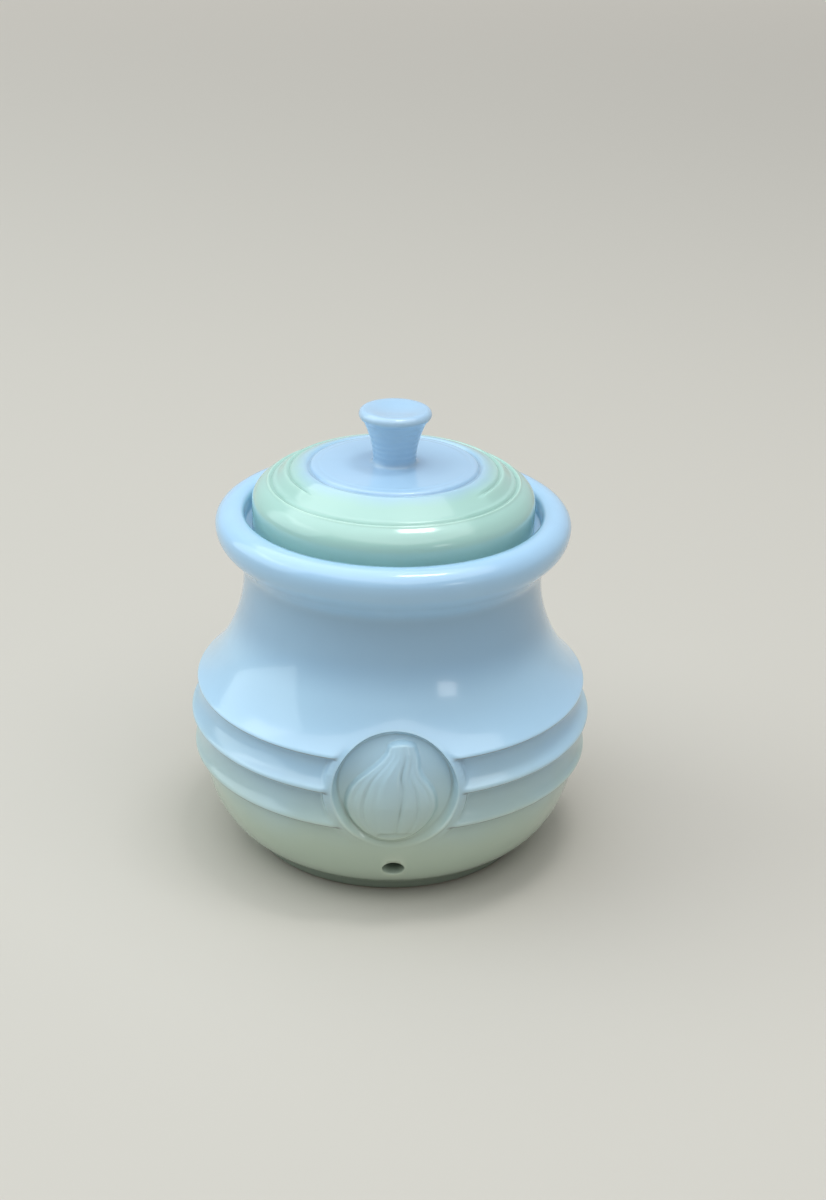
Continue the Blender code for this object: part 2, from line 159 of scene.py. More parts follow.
# %% Section of the pot
GALLERY, RIM, MOUTH, NECK, INSIDE = np.array((47.1, 56.2, 42.1, 47.5, 57.4)) * MM
FLOOR_TOP, RIM_TOP, LEDGE_TOP, NECK_HEIGHT = np.array((9.0, 113.1, 106.7, 90.7)) * MM
LEDGE_EDGE = 0.6 * MM
LIPS = np.array(((62.95, 54.4), (64.95, 43.3), (64.05, 31.3))) * MM
NOSES, STEPS_BACK = np.array((0.8, 1.1, 1.2)) * MM, np.array((2.9, 3.7, 2.2)) * MM


def lip(radius, height, nose):
    """Rounded nose of a rib: an arc over its outer half, down to the rib's lowest point."""
    return arc((radius - nose, height + nose), nose, 50, -86)


def flare(root, next_start):
    """Hollow stretch from the step under one lip out to the start of the next nose."""
    lead = (between(root[0], next_start[0], 0.0), between(root[1], next_start[1], 0.50))
    trail = (between(root[0], next_start[0], 0.32), between(root[1], next_start[1], 0.82))
    return np.vstack((root[None], cubic(root, lead, trail, next_start)[:-1]))


def pot_section():
    """The whole half section, from the floor's middle inside to the middle of the underside."""
    floor_edge, belly = (INSIDE * 0.78, FLOOR_TOP), (INSIDE, 41.7 * MM)
    neck_in, neck_out = (MOUTH, NECK_HEIGHT), (NECK, NECK_HEIGHT)
    rim_in, crest = (GALLERY, 111.5 * MM), (50.9 * MM, RIM_TOP)
    rim_side, rim_under = (RIM, 108.5 * MM), (49.2 * MM, 97.1 * MM)
    noses = [lip(*point, nose) for point, nose in zip(LIPS, NOSES)]
    roots = LIPS - np.stack((STEPS_BACK, (0.3 * MM,) * 3), axis=1)
    bowl_end = (47.2 * MM, 4.2 * MM)
    return [
        np.array(((0.0, FLOOR_TOP), floor_edge)),
        cubic(floor_edge, (52.3 * MM, FLOOR_TOP), (INSIDE, 25.4 * MM), belly),
        cubic(belly, (INSIDE, 61.4 * MM), (MOUTH, 63.9 * MM), neck_in),
        np.array(((MOUTH, LEDGE_TOP - LEDGE_EDGE), (MOUTH + LEDGE_EDGE, LEDGE_TOP), (GALLERY, LEDGE_TOP), rim_in)),
        cubic(rim_in, (GALLERY, 112.5 * MM), (48.6 * MM, RIM_TOP), crest),
        cubic(crest, (53.8 * MM, RIM_TOP), (RIM, 110.7 * MM), rim_side),
        cubic(rim_side, (RIM, 102.3 * MM), (52.1 * MM, 101.2 * MM), rim_under),
        cubic(rim_under, (48.3 * MM, 96.4 * MM), (NECK, 95.1 * MM), neck_out),
        cubic(neck_out, (NECK, 77.7 * MM), (54.2 * MM, 63.0 * MM), noses[0][0])[:-1],
        noses[0],
        flare(roots[0], noses[1][0]),
        noses[1],
        flare(roots[1], noses[2][0]),
        noses[2],
        roots[2:],
        cubic(roots[2], (60.2 * MM, 21.0 * MM), (57.7 * MM, 9.8 * MM), bowl_end),
        np.array(((46.1, 3.6), (45.8, 3.3), (46.1, 2.7), (45.9, 1.2), (45.4, 0.2), (44.8, 0.0))) * MM,
        np.array(((41.1, 0.0), (40.5, 0.6), (39.1, 2.8), (0.0, 2.8))) * MM,
    ]


RIB_BELT = (22 * MM, 66 * MM)
section = glazed_section(pot_section(), rows=260, belt=RIB_BELT)
print("pot section:", len(section), "rows, widest", round(section[:, 0].max() / MM, 2), "mm")

# %% [markdown]
# ## Pot surface
# Turned round the axis, the section gives the whole pot. The ribs stop at a smooth collar round the
# medallion, so near it each row slides in or out to a plain belly that runs over the ribs' places.
# Rows and columns stand closer together in front, where the ribs fade and the medallion is let in.

# %% Plain belly under the ribs
UPPER_END, LOWER_END = 60.0 * MM, 25.5 * MM
COLLAR_INSET = 0.55 * MM
TABLE_STEP, TABLE_BLUR = 0.1, 1.6
outer_rows = np.arange(len(section)) > section[:, 1].argmax()


def plain_table():
    """Radius by height: the section itself, bridged by straight lines between the lips' crests."""
    height = np.arange(8.0, 90.0, TABLE_STEP) * MM
    rows = section[outer_rows][::-1]
    radius = np.interp(height, rows[:, 1], rows[:, 0])
    ends = np.array((LOWER_END, UPPER_END))
    knots = np.concatenate((ends[:1], (LIPS[:, 1] + NOSES)[::-1], ends[1:]))
    low, high = np.interp(ends, height, radius)
    crests = np.concatenate(((low,), LIPS[::-1, 0] - COLLAR_INSET, (high,)))
    bridged = np.where((height > ends[0]) & (height < ends[1]), np.interp(height, knots, crests), radius)
    return height, blurred(bridged, TABLE_BLUR * MM, TABLE_STEP * MM)


PLAIN_HEIGHT, PLAIN_RADIUS = plain_table()


def plain_radius(height):
    """Radius of the belly without its ribs."""
    return np.interp(height, PLAIN_HEIGHT, PLAIN_RADIUS)


print("belly without ribs:", round(PLAIN_RADIUS.max() / MM, 2), "mm")

# %% Place of the medallion on the belly
MEDALLION_CENTRE = np.array((0.0, -64.6, 44.1)) * MM
MEDALLION_TILT = math.radians(7.5)
MEDALLION_UP = np.array((0.0, math.sin(MEDALLION_TILT), math.cos(MEDALLION_TILT)))
MEDALLION_OUT = np.array((0.0, -math.cos(MEDALLION_TILT), math.sin(MEDALLION_TILT)))
HOLE = 19.9 * MM


def medallion_plane(points):
    """Distances right and up from the medallion's middle, along its own tilted plane."""
    offset = points - MEDALLION_CENTRE
    return offset[..., 0], offset @ MEDALLION_UP


def from_plane(right, up, out):
    """Points in space from distances right, up and out of the medallion's plane."""
    along = np.stack((right, np.zeros_like(right), np.zeros_like(right)), axis=-1)
    return MEDALLION_CENTRE + along + up[..., None] * MEDALLION_UP + out[..., None] * MEDALLION_OUT


def belly_height(right, up):
    """How far out of the plane the plain belly lies: a few steps of y = -sqrt(R(z)^2 - x^2)."""
    out = np.zeros_like(right)
    for _ in range(8):
        point = from_plane(right, up, out)
        wanted = -np.sqrt(plain_radius(point[..., 2]) ** 2 - right**2)
        out = out + (wanted - point[..., 1]) / MEDALLION_OUT[1]
    return out


fall = -float(belly_height(np.array([HOLE]), np.array([0.0]))[0])
print("belly falls away to the right by", round(fall / MM, 2), "mm")

# %% [markdown]
# ## Garlic bulb
# The bulb is drawn as heights over a small square map. Across its width a point is found by its
# longitude, the arc sine of its share of the half width, as on a real bulb seen from the front.
# Cloves meet along lines of constant longitude, so the grooves draw together at stem and root by
# themselves. The map is blurred at the end, which lays the glaze over it.

# %% Heights of the garlic bulb
RELIEF = 3.4 * MM
BULB_OUTLINE = np.array((
    (-16.1, 0.2), (-15.8, 4.4), (-13.7, 7.8), (-10.8, 10.9), (-8.0, 12.8),
    (-5.0, 13.9), (-2.0, 13.9), (0.8, 13.1), (3.3, 11.4), (5.6, 9.3),
    (7.8, 7.4), (10.3, 5.9), (13.0, 4.6), (15.6, 3.8), (16.0, 0.2),
)) * MM
RELIEF_HEIGHTS, RELIEF_SHARES = np.array((-15.9, -13.0, -4.0, 6.0, 15.8)) * MM, (0.40, 0.75, 1.0, 0.90, 0.80)
BULB_LEAN, BULB_INSET = 3.1 * MM, 1.1 * MM
CLOVE_GROOVES = ((-56, 0.8), (-37, 1.0), (-19, 0.35), (13, 1.0), (36, 1.0), (53, 0.8))
GROOVE_SHAPES = ((0.16, 2.2), (0.15, 8.0))
SKIN_LINES, SKIN_DEPTH = 16, 0.035
ROOT_HEIGHT, ROOT_REACH, ROOT_DEPTH = -13.6 * MM, 5.0 * MM, 0.22
ROOT_BOW, ROOT_WIDTH = 60 * MM, 0.35 * MM
MAP_SPACING = 0.1 * MM
MAP_REACH = 19.0 * MM
MAP_BLUR = 0.24 * MM


def bulb_map():
    """Relief times cos(longitude)^0.7, cut at each clove line by a narrow bell curve and a wide one.

    CLOVE_GROOVES lists a longitude in degrees and a strength, GROOVE_SHAPES a depth and a width.
    """
    side = np.arange(-MAP_REACH, MAP_REACH, MAP_SPACING)
    right, up = np.meshgrid(side, side, indexing="ij")
    half = blurred(np.interp(side, *BULB_OUTLINE.T, left=0.0, right=0.0), 0.5 * MM, MAP_SPACING)[None, :]
    lean = BULB_LEAN * ease(up, 4.0 * MM, 13.0 * MM) - BULB_INSET
    share = (right - lean) / np.maximum(half, 0.2 * MM)
    longitude = np.degrees(np.arcsin(np.clip(share, -1.0, 1.0)))
    rise = np.clip(1.0 - share**2, 0.0, 1.0) ** 0.35
    body = rise * np.interp(up, RELIEF_HEIGHTS, RELIEF_SHARES)
    grooves = np.zeros_like(body)
    for line, strength in CLOVE_GROOVES:
        wander = line + 3.0 * np.sin(up / (5 * MM) + line)
        grooves = grooves + strength * sum(depth * bell(longitude - wander, width) for depth, width in GROOVE_SHAPES)
    fade = ease(up, -15.5 * MM, -12.0 * MM) * (1.0 - 0.8 * ease(up, 9.0 * MM, 15.0 * MM))
    skin = ease(up, -1.0 * MM, 5.0 * MM) * (1.0 - ease(up, 9.0 * MM, 12.5 * MM))
    wrinkles = SKIN_DEPTH * np.cos(np.radians(longitude * SKIN_LINES)) * skin
    root = ROOT_DEPTH * bell(up - ROOT_HEIGHT + right**2 / ROOT_BOW, ROOT_WIDTH) * (np.abs(right) < ROOT_REACH)
    height = RELIEF * np.clip(body * (1.0 - grooves * fade - wrinkles) - root * rise, 0.0, 1.0)
    height = np.where(np.abs(share) < 1.0, height, 0.0) * ease(half, 0.8 * MM, 2.4 * MM)
    once = blurred(height, MAP_BLUR, MAP_SPACING)
    return blurred(once.T, MAP_BLUR, MAP_SPACING).T


BULB = bulb_map()


def bulb_height(right, up):
    """The map read between its four nearest points."""
    i, j = ((value + MAP_REACH) / MAP_SPACING for value in (right, up))
    i, j = np.clip(i, 0, BULB.shape[0] - 1.001), np.clip(j, 0, BULB.shape[1] - 1.001)
    a, b = i.astype(int), j.astype(int)
    s, t = i - a, j - b
    near = BULB[a, b] * (1 - t) + BULB[a, b + 1] * t
    far = BULB[a + 1, b] * (1 - t) + BULB[a + 1, b + 1] * t
    return near * (1 - s) + far * s


print("bulb stands", round(BULB.max() / MM, 2), "mm proud on a map of", BULB.shape)

# %% [markdown]
# ## Medallion
# The medallion is a sunk round field with a slightly domed floor. Its upper wall is steep and ends in
# a crisp edge, and its lower wall is a wide soft lip. Both come from one easing whose width and
# sharpness change round the circle.

# %% Surface of the medallion
FIELD_DEPTH, CROWN_RADIUS = 4.0 * MM, 55.0 * MM
WALL_IN_SIDE, WALL_IN_FOOT, WALL_IN_TOP = np.array((15.7, 16.4, 17.9)) * MM
WALL_OUT_FOOT, WALL_OUT_TOP = np.array((19.2, 19.3)) * MM
BEAD_RISE, BEAD_PLACE, BEAD_WIDTH = np.array((0.45, 18.5, 0.8)) * MM


def medallion_height(right, up):
    """Blend from the domed floor plus bulb to the plain belly across a wall of varying width."""
    distance = np.hypot(right, up)
    climb = up / np.maximum(distance, 0.1 * MM)
    top, foot = ease(climb, -0.75, 0.55), ease(-climb, 0.70, 1.0)
    inner = between(between(WALL_IN_SIDE, WALL_IN_FOOT, foot), WALL_IN_TOP, top)
    outer = between(WALL_OUT_FOOT, WALL_OUT_TOP, top)
    t = np.clip((distance - inner) / (outer - inner), 0.0, 1.0)
    soft = t * t * (3.0 - 2.0 * t)
    wall = between(soft, t**1.6 * (1.0 - 0.15 * (1.0 - t)), top)
    crown = CROWN_RADIUS - np.sqrt(CROWN_RADIUS**2 - np.minimum(distance, 20 * MM) ** 2)
    floor = -FIELD_DEPTH - crown
    bead = BEAD_RISE * np.exp(-(((distance - BEAD_PLACE) / BEAD_WIDTH) ** 2))
    bead = bead * (1.0 - ease(distance, 19.0 * MM, HOLE))
    plain = belly_height(right, up) + bead * (1.0 - top) * (1.0 - foot)
    return between(floor, plain, wall) + bulb_height(right, up) * (1.0 - ease(distance, 16.6 * MM, 18.6 * MM))


edge = np.zeros(1), np.full(1, 17.4 * MM)
print("depth at the top edge", round(float((belly_height(*edge) - medallion_height(*edge))[0]) / MM, 2), "mm")

# %% [markdown]
# ## Pot mesh
# A round patch has to meet a square grid without a seam. The grid's quads inside the circle are left
# out, the points along the cut slide onto the circle, and the same points, sorted by angle, are the
# outer ring of the patch. So grid and patch share their points, and nothing is glued afterwards.

# %% Grids and meshes
def turned_grid(section, azimuth):
    """Points (r sin a, -r cos a, z) for each row of the section and each azimuth a from the front."""
    radius, height = section[:, :1], np.repeat(section[:, 1:], len(azimuth), axis=1)
    return np.stack((radius * np.sin(azimuth), -radius * np.cos(azimuth), height), axis=-1)


def grid_faces(rows, columns):
    """Quads between neighbouring rows, closed round the columns; points are numbered row by row."""
    row, column = np.meshgrid(np.arange(rows - 1), np.arange(columns), indexing="ij")
    here, beside = row * columns + column, row * columns + (column + 1) % columns
    return np.stack((here, beside, beside + columns, here + columns), axis=-1).reshape(-1, 4)


def fan_faces(ring, centre):
    """Triangles from a closed ring of point numbers to one centre point."""
    return np.stack((ring, np.roll(ring, -1), np.full_like(ring, centre)), axis=-1)


def mesh_object(name, points, quads, triangles):
    """A smooth mesh of the points in use, with its faces turned outwards."""
    used = np.unique(np.concatenate((quads.ravel(), triangles.ravel())))
    renumber = np.zeros(len(points), int)
    renumber[used] = np.arange(len(used))
    quads, triangles, points = renumber[quads], renumber[triangles], points[used]
    corners = points[np.vstack((quads[:, :3], quads[:, [0, 2, 3]], triangles))]
    volume = np.einsum("ij,ij->i", corners[:, 0], np.cross(corners[:, 1], corners[:, 2])).sum() / 6
    if volume < 0:
        quads, triangles = quads[:, ::-1], triangles[:, ::-1]
    mesh = bpy.data.meshes.new(name)
    mesh.from_pydata(points.tolist(), [], quads.tolist() + triangles.tolist())
    mesh.shade_smooth()
    item = bpy.data.objects.new(name, mesh)
    bpy.context.scene.collection.objects.link(item)
    print(name, "has", len(points), "points and", len(quads), "quads, and holds", round(abs(volume) * 1e6, 1), "ml")
    return item


def closed_mesh(name, points):
    """A mesh from a turned grid whose first and last rows each shrink to one point."""
    rows, columns = points.shape[:2]
    flat = np.vstack((points.reshape(-1, 3), points[[0, -1], 0]))
    fans = (fan_faces(np.arange(columns) + columns, rows * columns)[:, ::-1],
            fan_faces(np.arange(columns) + (rows - 2) * columns, rows * columns + 1))
    return mesh_object(name, flat, grid_faces(rows, columns)[columns:-columns], np.vstack(fans))


# %% Pot with its medallion
FRONT, FRONT_COLUMNS, SIDE_COLUMNS = 25, 104, 70
AZIMUTH = np.radians(np.concatenate((
    np.linspace(-180, -FRONT, SIDE_COLUMNS, endpoint=False),
    np.linspace(-FRONT, FRONT, FRONT_COLUMNS, endpoint=False),
    np.linspace(FRONT, 180, SIDE_COLUMNS, endpoint=False),
)))
RIBS_START, RIBS_FULL = HOLE + 0.3 * MM, HOLE + 2.8 * MM
RIB_ZONE = 8 * MM


def ribbed_grid():
    """The turned section, with outer rows drawn to the plain belly near the medallion."""
    points = turned_grid(section, AZIMUTH)
    right, up = medallion_plane(points)
    near = (np.abs(AZIMUTH) < math.pi / 2)[None, :] & outer_rows[:, None]
    distance = np.where(near, np.hypot(right, up), 1.0)
    keep = ease(distance, RIBS_START, RIBS_FULL)
    plain = plain_radius(section[:, 1:])
    zone = outer_rows & (section[:, 1] > LOWER_END - RIB_ZONE) & (section[:, 1] < UPPER_END + RIB_ZONE)
    radius = np.where(zone[:, None], between(plain, section[:, :1], keep), section[:, :1])
    points[..., 0] = radius * np.sin(AZIMUTH)
    points[..., 1] = -radius * np.cos(AZIMUTH)
    return points, distance


def pot_with_medallion():
    """Grid of the pot, its cut slid onto the circle, and a patch of rings inside it."""
    points, distance = ribbed_grid()
    rows, columns = distance.shape
    inside = distance < HOLE
    beside = inside | np.roll(inside, 1, axis=1) | np.roll(inside, -1, axis=1)
    around = beside.copy()
    around[1:] |= beside[:-1]
    around[:-1] |= beside[1:]
    cut = np.flatnonzero((around & ~inside).ravel())
    flat = points.reshape(-1, 3)
    right, up = medallion_plane(flat[cut])
    angle = np.arctan2(up, right)
    order = np.argsort(angle)
    cut, angle = cut[order], angle[order]
    share = np.concatenate((np.linspace(1.0, 0.74, 28), np.linspace(0.74, 0.03, 50)[1:]))
    ring_right, ring_up = (HOLE * share[:, None] * side(angle) for side in (np.cos, np.sin))
    patch = from_plane(ring_right, ring_up, medallion_height(ring_right, ring_up))
    flat[cut] = patch[0]
    nought = np.zeros(1)
    middle = from_plane(nought, nought, medallion_height(nought, nought))
    poles = points[[0, -1], 0]
    everything = np.vstack((flat, patch[1:].reshape(-1, 3), middle, poles))
    quads = grid_faces(rows, columns)[columns:-columns]
    quads = quads[~inside.ravel()[quads].any(axis=1)]
    rings = grid_faces(len(share), len(cut)) + len(flat) - len(cut)
    rings[: len(cut), :2] = cut[rings[: len(cut), :2] - (len(flat) - len(cut))]
    rings = rings[:, ::-1]
    last_ring = np.arange(len(cut)) + len(flat) + (len(share) - 2) * len(cut)
    centre = len(everything) - 3
    top_ring, bottom_ring = np.arange(columns) + columns, np.arange(columns) + (rows - 2) * columns
    fans = (fan_faces(last_ring, centre)[:, ::-1], fan_faces(top_ring, centre + 1)[:, ::-1],
            fan_faces(bottom_ring, centre + 2))
    print("cut has", len(cut), "points on the circle")
    return mesh_object("pot_glazed", everything, np.vstack((quads, rings)), np.vstack(fans))


pot = pot_with_medallion()

# %% [markdown]
# ## Vent holes
# A vent hole goes right through a wall, so it is cut rather than modelled. A turned plug is set square
# to the sloping bowl and taken away from the pot. Where it leaves the bowl it widens in a small trumpet,
# which reads as glaze that has run into the hole's edge.

# %% Vent holes
VENT_HEIGHT, VENT = 14.8 * MM, 3.3 * MM
TRUMPET, TRUMPET_LENGTH = 1.0 * MM, 2.2 * MM
PLUG_IN, PLUG_OUT = -14 * MM, 4 * MM


def vent_plug(azimuth):
    """Turned plug square to the sloping bowl: radius VENT, widened by t^3 where it comes out."""
    low, surface, high = plain_radius(VENT_HEIGHT + np.array((-1.0, 0.0, 1.0)) * VENT)
    slope = math.atan2(high - low, 2 * VENT)
    share = np.linspace(0.0, 1.0, 9)
    trumpet = np.stack((VENT + TRUMPET * share**3, TRUMPET_LENGTH * (share - 0.6)), axis=1)
    outline = np.vstack(((0.0, PLUG_IN), (VENT, PLUG_IN), trumpet, (VENT + TRUMPET, PLUG_OUT), (0.0, PLUG_OUT)))
    turn = np.radians(np.linspace(0, 360, 64, endpoint=False))
    radius, along = outline[:, :1], np.repeat(outline[:, 1:], len(turn), axis=1)
    side, rise = radius * np.cos(turn), radius * np.sin(turn)
    forward = surface + along * math.cos(slope) + rise * math.sin(slope)
    points = np.stack((side * math.cos(azimuth) + forward * math.sin(azimuth),
                       side * math.sin(azimuth) - forward * math.cos(azimuth),
                       VENT_HEIGHT - along * math.sin(slope) + rise * math.cos(slope)), axis=-1)
    return closed_mesh("vent_plug", points)


def cut_away(item, plug):
    """Take the plug's solid out of the item's mesh, and drop the plug."""
    modifier = item.modifiers.new("vent", "BOOLEAN")
    modifier.operation, modifier.solver, modifier.object = "DIFFERENCE", "EXACT", plug
    bpy.context.view_layer.update()
    evaluated = item.evaluated_get(bpy.context.evaluated_depsgraph_get())
    mesh = bpy.data.meshes.new_from_object(evaluated)
    item.modifiers.clear()
    item.data = mesh
    bpy.data.objects.remove(plug)


for azimuth in (0.0, math.pi):
    cut_away(pot, vent_plug(azimuth))
print("pot after the vents:", len(pot.data.polygons), "faces")

# %% [markdown]
# ## Lid
# The lid is turned in one piece with its knob. Under the dome a flange keeps it centred in the mouth.
# A groove rings its flat disc, and two steps with a groove at their root ring the dome outside it. The
# inner step fades away over the front, where a plain band is left bare, and its rows slide onto a smooth
# line there as the pot's ribs did.

# %% Section of the lid
LID, SEAT, LID_TOP = np.array((44.6, 107.0, 145.2)) * MM
DISC_GROOVE = np.array((
    (23.4, 127.4), (23.7, 127.2), (24.2, 127.3), (25.7, 127.15), (26.2, 126.85),
    (26.5, 126.15), (27.0, 126.1), (27.5, 126.6), (28.2, 126.8), (29.6, 126.55),
)) * MM
RING_STEP = np.array((
    (-1.5, 0.1), (-0.8, 0.0), (-0.3, -0.4), (0.0, -1.0),
    (0.35, -1.05), (0.95, -0.55), (1.5, -0.65),
)) * MM
FLANGE = np.array((
    (44.6, 107.6), (44.0, 107.0), (41.3, 107.0), (41.3, 102.9),
    (40.7, 102.3), (37.7, 102.3), (37.1, 102.9), (37.1, 107.0),
)) * MM


def ring_step(radius, height):
    """One step down on the dome, with a narrow groove at its root."""
    return np.array((radius, height)) + RING_STEP


def lid_section():
    """The whole half section, from the knob's dished top down the outside and back under the dome."""
    lip_radius, fillet = 1.7 * MM, 1.3 * MM
    knob_lip = arc((9.7 * MM, LID_TOP - lip_radius), lip_radius, 90, -65)
    dish, stem_foot = 144.1 * MM, (6.7 * MM, 128.8 * MM)
    wall_start, crease, brow = (39.8 * MM, 121.6 * MM), (43.4 * MM, 118.7 * MM), (LID, 115.0 * MM)
    ceiling, flange_in = 122.7 * MM, 37.1 * MM
    return [
        np.array(((0.0, dish),)),
        cubic((0.0, dish), (4.6 * MM, dish), (6.8 * MM, LID_TOP), knob_lip[0]),
        knob_lip[1:],
        cubic(knob_lip[-1], (9.3 * MM, 140.5 * MM), (6.9 * MM, 135.0 * MM), stem_foot),
        arc((8.0 * MM, stem_foot[1]), fillet, 180, 270)[1:],
        DISC_GROOVE,
        ring_step(32.8 * MM, 125.7 * MM),
        ring_step(38.4 * MM, 122.55 * MM),
        cubic(wall_start, (41.0 * MM, 121.0 * MM), (42.6 * MM, 120.0 * MM), crease),
        cubic(crease, (44.1 * MM, 117.9 * MM), (LID, 116.8 * MM), brow),
        FLANGE,
        cubic((flange_in, SEAT), (flange_in, 115.6 * MM), (28.9 * MM, ceiling), (18.5 * MM, ceiling)),
        np.array(((0.0, ceiling),)),
    ]


lid_rows = glazed_section(lid_section(), rows=230, soften=0.2 * MM)
low, high = (round(end / MM, 1) for end in (lid_rows[:, 1].min(), lid_rows[:, 1].max()))
print("lid section:", len(lid_rows), "rows, from", low, "to", high, "mm")

# %% Lid with its bare band
PANEL, PANEL_IN, PANEL_OUT = np.radians((53, 7, 5))
BAND_IN, BAND_OUT, BAND_FLOOR = np.array((28.4, 37.1, 120.0)) * MM


def lid_with_band():
    """Turned lid whose inner step eases into a straight slope across the front."""
    azimuth = np.radians(np.linspace(-180, 180, 320, endpoint=False))
    points = turned_grid(lid_rows, azimuth)
    radius, height = lid_rows.T
    upper = np.arange(len(lid_rows)) < radius.argmax()
    band = upper & (radius > BAND_IN) & (radius < BAND_OUT) & (height > BAND_FLOOR)
    ends = np.flatnonzero(band)[[0, -1]]
    sloped = np.where(band, np.interp(radius, radius[ends], height[ends]), height)
    bare = 1.0 - ease(np.abs(azimuth), PANEL - PANEL_IN, PANEL + PANEL_OUT)
    points[..., 2] = height[:, None] + (sloped - height)[:, None] * bare[None, :]
    return closed_mesh("lid_glazed", points)


lid = lid_with_band()

# %% [markdown]
# ## Where glaze gathers
# Melted glaze runs off ridges and gathers in hollows. Each point is compared with the mean of its
# neighbours: in a hollow that mean lies outside the surface, on a ridge inside it. The result is
# divided by the square of the neighbours' distance, which makes it a curvature, then evened out over
# a few neighbours and stored as an attribute that the material can read. The glazes darken hollows
# by it, partly as pooled glaze and partly as painted shade.

# %% Hollows and ridges as an attribute
def store_hollows(item, radius=0.9 * MM, passes=10):
    """Attribute 'hollow': 0.5 on flat places, towards 1 in hollows and towards 0 on ridges."""
    mesh = item.data
    count = len(mesh.vertices)
    place, normal = np.empty(count * 3, np.float32), np.empty(count * 3, np.float32)
    mesh.vertices.foreach_get("co", place)
    mesh.vertex_normals.foreach_get("vector", normal)
    place, normal = place.reshape(-1, 3).astype(float), normal.reshape(-1, 3).astype(float)
    edges = np.empty(len(mesh.edges) * 2, np.int32)
    mesh.edges.foreach_get("vertices", edges)
    a, b = edges.reshape(-1, 2).T
    step = place[b] - place[a]
    length = np.maximum((step**2).sum(axis=1), 1e-12)
    bend = np.zeros(count)
    weight = np.zeros(count)
    for here, there, sign in ((a, b, 1.0), (b, a, -1.0)):
        rise = sign * (step * normal[here]).sum(axis=1) / length
        bend += np.bincount(here, rise, count)
        weight += np.bincount(here, minlength=count)
    bend = np.clip(bend / np.maximum(weight, 1) * radius, -1.0, 1.0)
    for _ in range(passes):
        total = np.bincount(a, bend[b], count) + np.bincount(b, bend[a], count)
        bend = (bend + total) / (1.0 + weight)
    layer = mesh.attributes.new("hollow", "FLOAT", "POINT")
    layer.data.foreach_set("value", (0.5 + 0.5 * bend).astype(np.float32))
    print(item.name, "hollow from", round(float(bend.min()), 2), "to", round(float(bend.max()), 2))


for piece in (pot, lid):
    store_hollows(piece)

# %% [markdown]
# ## Writing a finish
# A material is a net of nodes, which is hard to read as code. Here one small class stands for an
# output of a node, and adding or multiplying such values adds the Math nodes. Every other node comes
# from one method that takes its type, its settings and its inputs.

# %% Shader values as formulas
class Value:
    """One output of a shader node; sums and products with it add Math nodes."""

    def __init__(self, finish, socket):
        self.finish, self.socket = finish, socket

    def math(self, operation, *values):
        return self.finish.node("ShaderNodeMath", {"operation": operation}, values)

    def __add__(self, other):
        return self.math("ADD", self, other)

    def __sub__(self, other):
        return self.math("SUBTRACT", self, other)

    def __rsub__(self, other):
        return self.math("SUBTRACT", other, self)

    def __mul__(self, other):
        return self.math("MULTIPLY", self, other)

    __radd__, __rmul__ = __add__, __mul__

    def fade(self, low, high):
        """0 at low and 1 at high, eased at both ends."""
        settings = {"interpolation_type": "SMOOTHSTEP"}
        inputs = {"Value": self, "From Min": low, "From Max": high}
        return self.finish.node("ShaderNodeMapRange", settings, inputs)

    def band(self, low, full, last, high):
        """0 up to low, 1 from full to last, and 0 again from high."""
        return self.fade(low, full) * (1.0 - self.fade(last, high))


class Finish:
    """A material on one Principled shader, with its nodes made by formulas."""

    def __init__(self, name, **shader_inputs):
        self.material = bpy.data.materials.new(name)
        self.material.use_nodes = True
        self.tree = self.material.node_tree
        self.shader = self.tree.nodes["Principled BSDF"]
        for socket, value in shader_inputs.items():
            self.shader.inputs[socket.replace("_", " ")].default_value = value

    def node(self, kind, settings, inputs, output=0):
        made = self.tree.nodes.new(kind)
        for name, value in settings.items():
            setattr(made, name, value)
        for key, value in inputs.items() if isinstance(inputs, dict) else enumerate(inputs):
            if isinstance(value, Value):
                self.tree.links.new(value.socket, made.inputs[key])
            else:
                made.inputs[key].default_value = value
        return Value(self, made.outputs[output])

    def place(self):
        """x, y and z on the piece, in metres."""
        position = self.node("ShaderNodeTexCoord", {}, {}, output="Object")
        return position, [self.node("ShaderNodeSeparateXYZ", {}, [position], output=k) for k in range(3)]

    def noise(self, position, size, detail=2.0):
        """Cloudy values from 0 to 1 whose patches are about this size in metres."""
        inputs = {"Vector": position, "Scale": 1.0 / size, "Detail": detail}
        return self.node("ShaderNodeTexNoise", {}, inputs)

    def attribute(self, name):
        return self.node("ShaderNodeAttribute", {"attribute_name": name}, {}, output="Fac")

    def mix(self, share, first, second):
        """Colour from first to second by share."""
        return self.node("ShaderNodeMix", {"data_type": "RGBA"}, {0: share, 6: first, 7: second}, output=2)

    def bump(self, height, distance):
        inputs = {"Strength": 1.0, "Distance": distance, "Height": height}
        return self.node("ShaderNodeBump", {}, inputs, output="Normal")

    def feed(self, socket, value):
        self.tree.links.new(value.socket, self.shader.inputs[socket])


def colour(red, green, blue):
    """A colour written as on a screen, 0 to 255, turned into scene light."""
    screen = np.array((red, green, blue)) / 255
    light = np.where(screen <= 0.04045, screen / 12.92, ((screen + 0.055) / 1.055) ** 2.4)
    return (*light.tolist(), 1.0)


print("middle grey in scene light:", [round(v, 3) for v in colour(128, 128, 128)[:3]])
